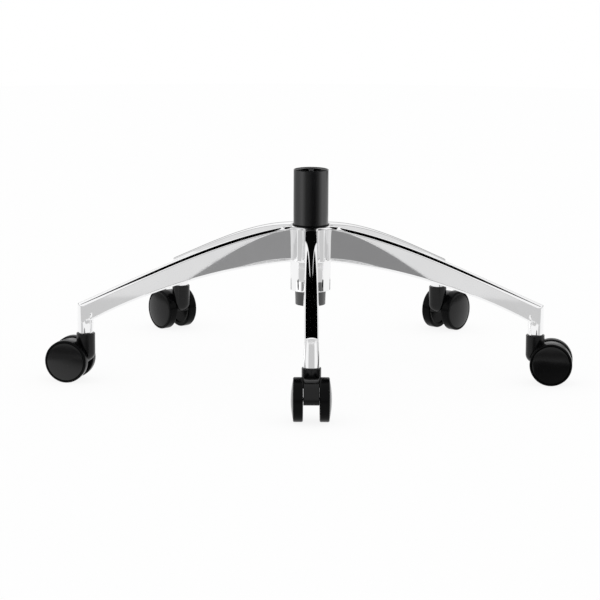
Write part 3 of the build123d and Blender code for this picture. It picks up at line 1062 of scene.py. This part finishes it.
@dataclass(frozen=True)
class Studio:
    """Camera, plain floor, white surroundings, and the glowing and black cards that paint reflections in the
    polished parts.

    Lengths are in metres and angles in degrees.
    """

    eye: Triple = (-0.0266, -4.479, 0.663)
    pitch: float = 79.22
    heading: float = -0.15
    roll: float = 0.31
    lens: float = 190.35
    sensor: float = 36.0
    clip: Pair = (0.1, 60.0)
    floor_radius: float = 3.4
    floor_steps: int = 96
    floor_tone: float = 0.96
    floor_glow: float = 0.88
    plain_sky: float = 0.97
    sky: Stops = ((0.48, 0.29), (0.555, 0.33), (0.60, 0.95), (0.66, 1.0))
    side_lean: float = 0.10
    seat_reach: Pair = (0.47, 0.31)
    seat_forward: float = 0.03
    seat_height: float = 0.14
    lift_radius: float = 0.024
    lift_gap: float = 0.002
    lift_steps: int = 48
    card_steps: int = 24

    def camera(self) -> None:
        """Stand the camera where the photograph was taken."""
        data = bpy.data.cameras.new("camera")
        data.lens = self.lens
        data.sensor_width = self.sensor
        data.clip_start, data.clip_end = self.clip
        camera = bpy.data.objects.new("camera", data)
        turned = Matrix.Rotation(math.radians(self.heading), 4, "Z")
        turned @= Matrix.Rotation(math.radians(self.pitch), 4, "X")
        turned @= Matrix.Rotation(math.radians(self.roll), 4, "Z")
        camera.matrix_world = Matrix.Translation(self.eye) @ turned
        bpy.context.scene.collection.objects.link(camera)
        bpy.context.scene.camera = camera

    def floor(self) -> None:
        """Lay a pale floor that the camera sees as white, with the object's soft shadow."""
        shape = bmesh.new()
        bmesh.ops.create_circle(shape, cap_ends=True, segments=self.floor_steps, radius=self.floor_radius)
        graph = Graph("pale_floor")
        set_inputs(graph.shader, Base_Color=(self.floor_tone, self.floor_tone, self.floor_tone, 1.0),
                   Roughness=0.9, Specular_IOR_Level=0.0)
        rays = graph.add("LightPath")
        seen = rays.outputs["Is Camera Ray"]
        for kind in ("Is Glossy Ray", "Is Transmission Ray"):
            seen = graph.calculate("MAXIMUM", seen, rays.outputs[kind])
        white = graph.add("Emission", Strength=1.0)
        mixed = graph.add("MixShader")
        graph.join(graph.calculate("MULTIPLY", seen, self.floor_glow), mixed.inputs[0])
        graph.join(graph.shader.outputs[0], mixed.inputs[1])
        graph.join(white.outputs[0], mixed.inputs[2])
        graph.join(mixed.outputs[0], graph.surface)
        self.stand("floor", shape, graph).location.z = FLOOR_LEVEL

    def surroundings(self) -> None:
        """White surroundings, darker below and at the horizon in reflections, and brighter on the left."""
        world = bpy.data.worlds.new("studio")
        world.use_nodes = True
        bpy.context.scene.world = world
        tree = world.node_tree
        back = tree.nodes["Background"]
        rays = add_node(tree, "LightPath")
        place = add_node(tree, "TexCoord")
        parts = add_node(tree, "SeparateXYZ")
        raised = add_node(tree, "MapRange", From_Min=-1.0)
        ramp = add_node(tree, "ValToRGB")
        grey_ramp(ramp, self.sky)
        lean = add_node(tree, "MapRange", From_Min=-1.0, To_Min=1.0 + self.side_lean,
                        To_Max=1.0 - self.side_lean)
        leaned = add_node(tree, "VectorMath")
        leaned.operation = "SCALE"
        plain = add_node(tree, "Mix")
        plain.data_type = "RGBA"
        plain.inputs["A"].default_value = (self.plain_sky, self.plain_sky, self.plain_sky, 1.0)
        seen = add_node(tree, "Mix")
        seen.data_type = "RGBA"
        seen.inputs["B"].default_value = (1.0, 1.0, 1.0, 1.0)
        back.inputs["Strength"].default_value = 1.0
        for output, target in (
                (place.outputs["Generated"], parts.inputs[0]),
                (parts.outputs["Z"], raised.inputs["Value"]),
                (raised.outputs["Result"], ramp.inputs["Fac"]),
                (parts.outputs["X"], lean.inputs["Value"]),
                (ramp.outputs["Color"], leaned.inputs[0]),
                (lean.outputs["Result"], leaned.inputs["Scale"]),
                (rays.outputs["Is Glossy Ray"], plain.inputs["Factor"]),
                (leaned.outputs["Vector"], plain.inputs["B"]),
                (rays.outputs["Is Camera Ray"], seen.inputs["Factor"]),
                (plain.outputs["Result"], seen.inputs["A"]),
                (seen.outputs["Result"], back.inputs["Color"])):
            tree.links.new(output, target)

    def stand(self, name: str, shape: bmesh.types.BMesh, graph: Graph) -> bpy.types.Object:
        """Put a piece of the studio in the scene.

        Args:
            name: Its name.
            shape: Its shape in metres, which is used up.
            graph: Its material.

        Returns:
            The new object, marked as part of the stage.
        """
        mesh = bpy.data.meshes.new(name)
        shape.to_mesh(mesh)
        shape.free()
        mesh.materials.append(graph.material)
        thing = bpy.data.objects.new(name, mesh)
        bpy.context.scene.collection.objects.link(thing)
        return thing

    def card(self, name: str, shape: bmesh.types.BMesh, levels: Stops) -> None:
        """Hang a glowing card that only reflections see: a painted reflection.

        Args:
            name: The card's name.
            shape: Its shape in metres, which is used up.
            levels: Its brightness at angles round the column, in degrees.
        """
        graph = Graph(name)
        brightest = max(level for _, level in levels)
        light = graph.add("Emission", Strength=brightest)
        if any(level != brightest for _, level in levels):
            graph.join(self.round_column(graph, levels, brightest), light.inputs["Color"])
        graph.join(light.outputs[0], graph.surface)
        card = self.stand(name, shape, graph)
        # Seen only by glossy rays, so the card shows as a painted reflection and nothing else.
        card.visible_camera = False
        card.visible_diffuse = False
        card.visible_shadow = False
        card.visible_transmission = False

    def round_column(self, graph: Graph, levels: Stops, brightest: float) -> bpy.types.NodeSocket:
        """Shade a card by its direction from the column.

        Args:
            graph: The card's material.
            levels: Brightness at angles round the column, in degrees.
            brightest: The greatest of them.

        Returns:
            The colour, as a share of the greatest brightness.
        """
        place = graph.add("TexCoord")
        parts = graph.add("SeparateXYZ")
        graph.join(place.outputs["Object"], parts.inputs[0])
        ahead = graph.calculate("MULTIPLY", parts.outputs["Y"], -1.0)
        turned = graph.calculate("ARCTAN2", parts.outputs["X"], ahead)
        first, last = levels[0][0], levels[-1][0]
        share = graph.add("MapRange", From_Min=math.radians(first + 90.0),
                          From_Max=math.radians(last + 90.0))
        ramp = graph.add("ValToRGB")
        grey_ramp(ramp, tuple(((angle - first) / (last - first), level / brightest)
                              for angle, level in levels))
        graph.join(turned, share.inputs["Value"])
        graph.join(share.outputs["Result"], ramp.inputs["Fac"])
        return ramp.outputs["Color"]

    def hang(self) -> None:
        """Hang the black cards that paint the dark reflection of a chair above, and the glowing cards round
        the column and on the floor that paint reflections.
        """
        black: Stops = ((0.0, 0.0),)
        # Black sheet above the base, seen only in reflections: the painted dark reflection of a seat.
        seat = bmesh.new()
        bmesh.ops.create_circle(seat, cap_ends=True, segments=4, radius=1.0)
        bmesh.ops.scale(seat, verts=seat.verts[:], vec=(*self.seat_reach, 1.0))
        bmesh.ops.translate(seat, verts=seat.verts[:], vec=(0.0, self.seat_forward, self.seat_height))
        self.card("seat_reflection_card", seat, black)
        # Black tube above the column, seen only in reflections: the painted dark reflection of the lift's
        # upper part.
        lift = bmesh.new()
        bmesh.ops.create_cone(lift, segments=self.lift_steps, radius1=self.lift_radius,
                              radius2=self.lift_radius, depth=self.seat_height)
        middle = 0.5 * self.seat_height + self.lift_gap
        bmesh.ops.translate(lift, verts=lift.verts[:], vec=(0.0, 0.0, middle))
        self.card("lift_reflection_card", lift, black)
        for card in CARDS:
            self.hang_ring(card)

    def hang_ring(self, card: RingCard) -> None:
        """Spin a ring card's shape round the column and hang it.

        Args:
            card: The card.
        """
        shape = bmesh.new()
        first, last = card.levels[0][0], card.levels[-1][0]
        start = Matrix.Rotation(math.radians(first), 4, "Z")
        ends = [shape.verts.new(start @ Vector((radius, 0.0, height)))
                for radius, height in zip(card.reach, card.rise)]
        edge = shape.edges.new(ends)
        bmesh.ops.spin(shape, geom=ends + [edge], cent=(0, 0, 0), axis=(0, 0, 1),
                       angle=math.radians(last - first), steps=self.card_steps, use_duplicate=False)
        self.card(card.name, shape, card.levels)

    def build(self) -> None:
        """Set up everything round the object."""
        bpy.context.scene.view_settings.view_transform = "Standard"
        self.camera()
        self.floor()
        self.surroundings()
        self.hang()


# Assembly


DRESSED: dict[FinishName, tuple[str, ...]] = {
    FinishName.STEEL: ("end_plate", "release_pin", "rod_piston", "retaining_clip", "lower_thrust_washer",
                       "upper_thrust_washer"),
    FinishName.CHROME: ("piston_rod", "bearing_balls"),
    FinishName.LACQUER: ("gas_cylinder",),
    FinishName.WHITE: ("rod_gland", "bearing_cage"),
    FinishName.NYLON: ("guide_bush",),
    FinishName.RUBBER: ("rubber_buffer",),
}
DRESSED_PER_CASTER: dict[str, FinishName] = {
    "stem": FinishName.STEEL,
    "grip_ring": FinishName.STEEL,
    "axle": FinishName.STEEL,
    "hood": FinishName.GLOSS,
}


def dress_nodes(nodes: dict[str, bpy.types.Object], workshop: Workshop, casters: CasterSet) -> None:
    """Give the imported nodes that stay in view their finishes.

    Args:
        nodes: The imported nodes.
        workshop: Finishes a node.
        casters: The casters, for their names.
    """
    for finish, names in DRESSED.items():
        for name in names:
            workshop.dress(nodes[name], finish)
    for place in casters.places:
        for kind, finish in DRESSED_PER_CASTER.items():
            workshop.dress(nodes[f"{kind}_{place.name}"], finish)


def main() -> None:
    """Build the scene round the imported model."""
    logging.basicConfig(level=logging.INFO, format="%(name)s: %(message)s")
    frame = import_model()
    workshop = Workshop({name: finish.build() for name, finish in FINISHES.items()})
    casters = CasterSet()
    StarCasting().build(workshop)
    Column().build(workshop)
    casters.build(workshop)
    dress_nodes(frame["nodes"], workshop, casters)
    Studio().build()


if __name__ == "__main__":
    main()
